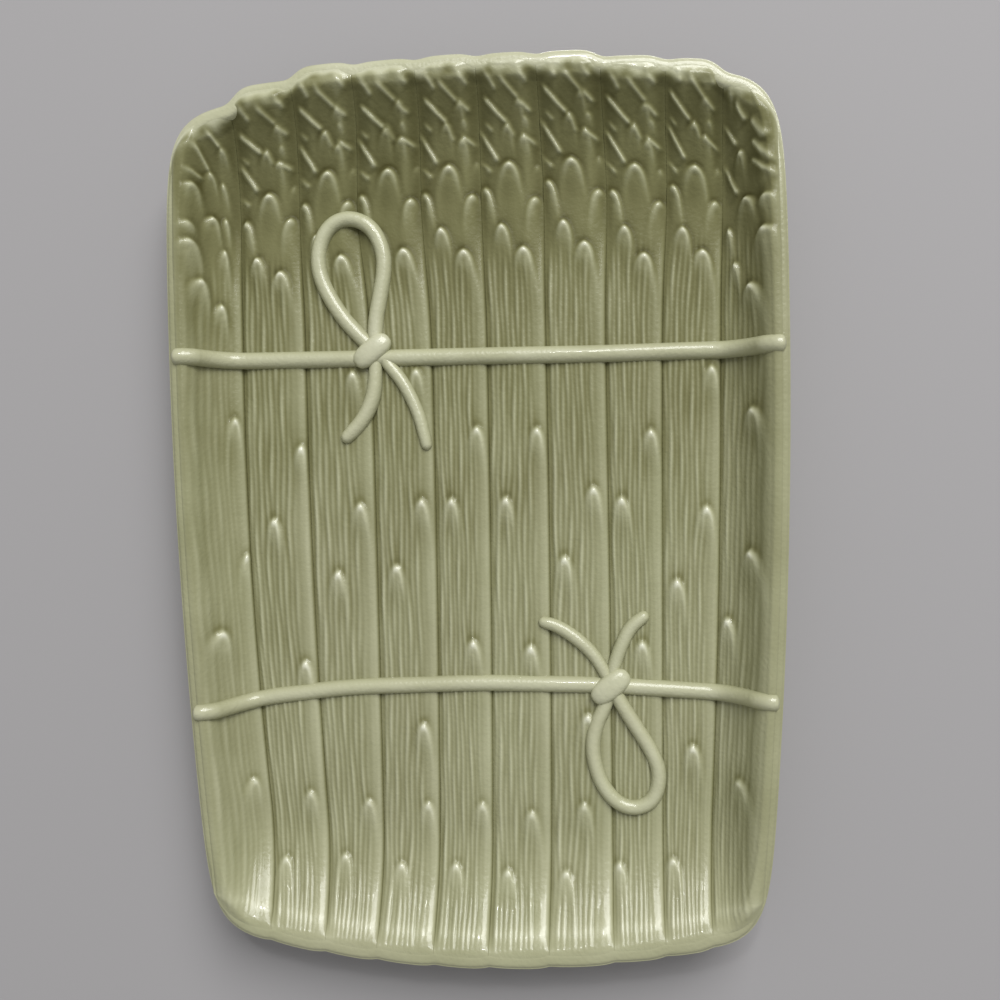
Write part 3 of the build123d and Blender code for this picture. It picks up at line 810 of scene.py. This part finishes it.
# Ties: two rolled clay strings laid across the bundle from lip to lip, each with a knot, one bow loop and
# two loose ends. They are pressed down into the stalks, so only their upper half shows.
CORD_TOP = 28.6
CORD_LIFT = 1.6
CORD_SIDE_LIFT = 0.9
CORD_STEP = 4.0
CORD_FIRST_STEP = 11.0
CORD_LAST_STEP = 9.0
CORD_END_STEPS = np.array([0.0, 0.5, 1.5, 3.0, 4.5, 6.0, 8.0])
CORD_INSET = 1.4
CORD_NOSE = (1.2, 2.5)
STRING_LIFT = 2.3
KNOT_HALVES = np.array([8.0, 4.3, 3.2])
KNOT_BLUNT = 0.8
KNOT_HEIGHT = 3.6
KNOT_TURN = math.radians(38.0)

# Stations across the plate, each cord's places along it at those stations, and its radius
CORD_STATIONS = (-109.0, -96.0, -84.0, -50.0, 0.0, 45.0, 82.0, 96.0, 110.0)
CORDS = {
    "upper_cord": ((57.6, 57.6, 57.4, 56.7, 55.9, 54.9, 54.7, 54.3, 53.5), 3.2),
    "lower_cord": ((-70.8, -71.6, -68.8, -64.9, -63.6, -64.7, -67.2, -68.2, -68.6), 3.0),
}
# Points of each bow loop, out from its knot and back, and its radius
BOWS = {
    "upper_bow": (
        ((-38, 60), (-41.8, 63.7), (-50.1, 73), (-57.6, 86.7), (-58.2, 98), (-53.6, 107), (-45.5, 109.5),
         (-37.5, 105.5), (-33.4, 97), (-33, 88.8), (-35, 78.7), (-37.1, 68.6), (-37, 60)),
        2.9,
    ),
    "lower_bow": (
        ((46, -66), (44.7, -71.6), (40.6, -79.4), (39.2, -88.7), (42.2, -100), (47.8, -107), (54.6, -109),
         (61.3, -105.5), (63.4, -96.4), (60.8, -88.5), (55.1, -79.4), (49, -69.5), (47, -65)),
        2.7,
    ),
}
# Points of each loose end, out from its knot, and the radius at each point
TAILS = {
    "upper_tail_left": (
        ((-37, 55), (-37.1, 51.7), (-37.8, 42.7), (-41.9, 34), (-47.8, 28.0), (-49.9, 26.5), (-50.4, 26.2)),
        (2.5, 2.6, 2.9, 2.9, 2.7, 2.0, 0.3),
    ),
    "upper_tail_right": (
        ((-34, 57), (-33.2, 55), (-26.8, 47.4), (-21.3, 35.8), (-18.7, 24.6), (-18.3, 22.4), (-18.2, 21.8)),
        (2.4, 2.4, 2.5, 2.4, 2.3, 1.7, 0.3),
    ),
    "lower_tail_left": (
        ((46, -63), (44.6, -59.9), (40.5, -53.1), (33.9, -47), (27.5, -43), (23.2, -41.8), (21.5, -41.3),
         (21.0, -41.2)),
        (2.3, 2.3, 2.4, 2.5, 2.4, 2.2, 1.6, 0.3),
    ),
    "lower_tail_right": (
        ((47, -62), (47.9, -57.8), (50.5, -50.7), (53.9, -44), (58.4, -40.5), (60.2, -39.4), (60.6, -39.2)),
        (2.3, 2.4, 2.5, 2.5, 2.4, 1.7, 0.3),
    ),
}
KNOTS = {"upper_knot": (-38.0, 59.0), "lower_knot": (46.5, -65.0)}


def clay_string(node, points, radii, lift):
    """A rolled string through points in plan, lying on the stalks at a height above the tray."""
    name = f"{node}_glazed"
    curve = bpy.data.curves.new(name, "CURVE")
    curve.dimensions = "3D"
    curve.bevel_depth = MM
    curve.bevel_resolution = 8
    curve.use_fill_caps = True
    curve.resolution_u = 10
    line = curve.splines.new("NURBS")
    line.points.add(len(points) - 1)
    lifts = np.broadcast_to(lift, len(points))
    for spot, (x, y), radius, up in zip(line.points, points, radii, lifts):
        place = laid(np.array([float(x)]), np.array([float(y)]), np.array([up]))[0]
        spot.co = (*(place * MM), 1.0)
        spot.radius = radius
    line.order_u = 3
    line.use_endpoint_u = True
    piece = bpy.data.objects.new(name, curve)
    bpy.context.collection.objects.link(piece)
    bpy.ops.object.select_all(action="DESELECT")
    bpy.context.view_layer.objects.active = piece
    piece.select_set(True)
    bpy.ops.object.convert(target="MESH")
    piece = bpy.context.object
    bpy.ops.object.mode_set(mode="EDIT")
    bpy.ops.mesh.select_all(action="SELECT")
    bpy.ops.mesh.remove_doubles(threshold=0.00001)
    bpy.ops.mesh.normals_make_consistent(inside=False)
    bpy.ops.object.mode_set(mode="OBJECT")
    bpy.ops.object.shade_smooth_by_angle(angle=math.radians(60))
    # Painted light from above: each string's tone comes from its normals, paler where the surface faces up
    # and darker down its flanks and underside.
    normals = np.empty(len(piece.data.vertices) * 3)
    piece.data.vertices.foreach_get("normal", normals)
    set_pool_and_painted_shade(piece, 0.55 + 0.2 * normals.reshape(-1, 3)[:, 2])
    piece.data.materials.append(glaze)
    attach(piece, "root")
    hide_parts(node)


def clay_knot(node, x, y):
    """The knot: a smooth slanting pad of clay, pressed over the cord."""
    bpy.ops.mesh.primitive_uv_sphere_add(segments=48, ring_count=24, radius=1.0)
    piece = bpy.context.object
    piece.name = f"{node}_glazed"
    points = corners_of(piece)
    points = np.sign(points) * np.abs(points) ** KNOT_BLUNT * KNOT_HALVES
    across = points[:, 0] * math.cos(KNOT_TURN) - points[:, 1] * math.sin(KNOT_TURN)
    along = points[:, 0] * math.sin(KNOT_TURN) + points[:, 1] * math.cos(KNOT_TURN)
    set_corners(piece, np.column_stack([across + x, along + y, points[:, 2] + FLOOR + KNOT_HEIGHT]))
    bpy.ops.object.shade_smooth()
    # Painted light from above: the knot's tone runs a little paler towards its top and darker towards its
    # underside.
    set_pool_and_painted_shade(piece, 0.72 + 0.02 * points[:, 2])
    piece.data.materials.append(glaze)
    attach(piece, "root")
    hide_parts(node)


for node, (places, radius) in CORDS.items():
    left_end = side_edge(places[0]) - CORD_INSET
    right_end = side_edge(places[-1]) - CORD_INSET
    between = np.arange(CORD_FIRST_STEP - left_end, right_end - CORD_LAST_STEP, CORD_STEP)
    across = np.concatenate([CORD_END_STEPS - left_end, between, right_end - CORD_END_STEPS[::-1]])
    run = blurred(np.interp(across, CORD_STATIONS, places)[None, :], 2, 0)[0]
    radii = np.full(len(across), radius)
    radii[[0, -1]] = CORD_NOSE[0]
    radii[[1, -2]] = CORD_NOSE[1]
    room = (CORD_TOP - radius - tray_height(across, run)) / tray_normal(across, run)[:, 2]
    lifts = np.minimum(CORD_LIFT + CORD_SIDE_LIFT * smooth(78.0, 98.0, np.abs(across)), room)
    clay_string(node, list(zip(across, run)), radii, lifts)
for node, (points, radius) in BOWS.items():
    clay_string(node, points, [radius] * len(points), STRING_LIFT)
for node, (points, radii) in TAILS.items():
    clay_string(node, points, radii, STRING_LIFT)
for node, (x, y) in KNOTS.items():
    clay_knot(node, x, y)

# Stand: a plain pale floor, a wide soft window light and a small lamp, both from the tip end, and the
# camera above the plate, a little to its right.
bpy.ops.mesh.primitive_plane_add(size=6.0)
floor = bpy.context.object
floor.name = "floor"
floor_finish = bpy.data.materials.new("floor_finish")
floor_finish.use_nodes = True
floor_shader = floor_finish.node_tree.nodes["Principled BSDF"]
floor_shader.inputs["Base Color"].default_value = srgb(160, 158, 159)
floor_shader.inputs["Roughness"].default_value = 0.8
floor.data.materials.append(floor_finish)

world = bpy.data.worlds.new("studio")
bpy.context.scene.world = world
world.use_nodes = True
sky = world.node_tree.nodes["Background"]
sky.inputs["Color"].default_value = (1.0, 1.0, 1.0, 1.0)
sky.inputs["Strength"].default_value = 0.4


def soft_light(name, place, size, power):
    """A square soft box, turned to the middle of the plate."""
    lamp = bpy.data.lights.new(name, "AREA")
    lamp.shape = "SQUARE"
    lamp.size = size
    lamp.energy = power
    box = bpy.data.objects.new(name, lamp)
    box.location = place
    box.rotation_euler = (Vector((0, 0, 0)) - Vector(place)).to_track_quat("-Z", "Y").to_euler()
    bpy.context.collection.objects.link(box)


soft_light("window", (0.8, 1.65, 1.9), size=1.5, power=62.0)
soft_light("lamp", (0.0, 0.9, 1.5), size=0.12, power=2.6)

CAMERA_PLACE = (0.048, -0.0027, 0.3786)
CAMERA_TURNS = (-6.2, -0.86, 1.32)
SENSOR_WIDTH = 36.0
FOCAL_SHARE = 1.0143
turn_side, turn_up, turn_round = (math.radians(turn) for turn in CAMERA_TURNS)
turned = Matrix.Rotation(turn_round, 3, "Z") @ Matrix.Rotation(turn_up, 3, "X")
aim = turned @ Matrix.Rotation(turn_side, 3, "Y")
lens = bpy.data.cameras.new("camera")
lens.sensor_width = SENSOR_WIDTH
lens.lens = FOCAL_SHARE * SENSOR_WIDTH
lens.clip_start = 0.01
camera = bpy.data.objects.new("camera", lens)
camera.matrix_world = Matrix.Translation(CAMERA_PLACE) @ aim.transposed().to_4x4()
bpy.context.collection.objects.link(camera)
bpy.context.scene.camera = camera
bpy.context.scene.view_settings.view_transform = "Standard"
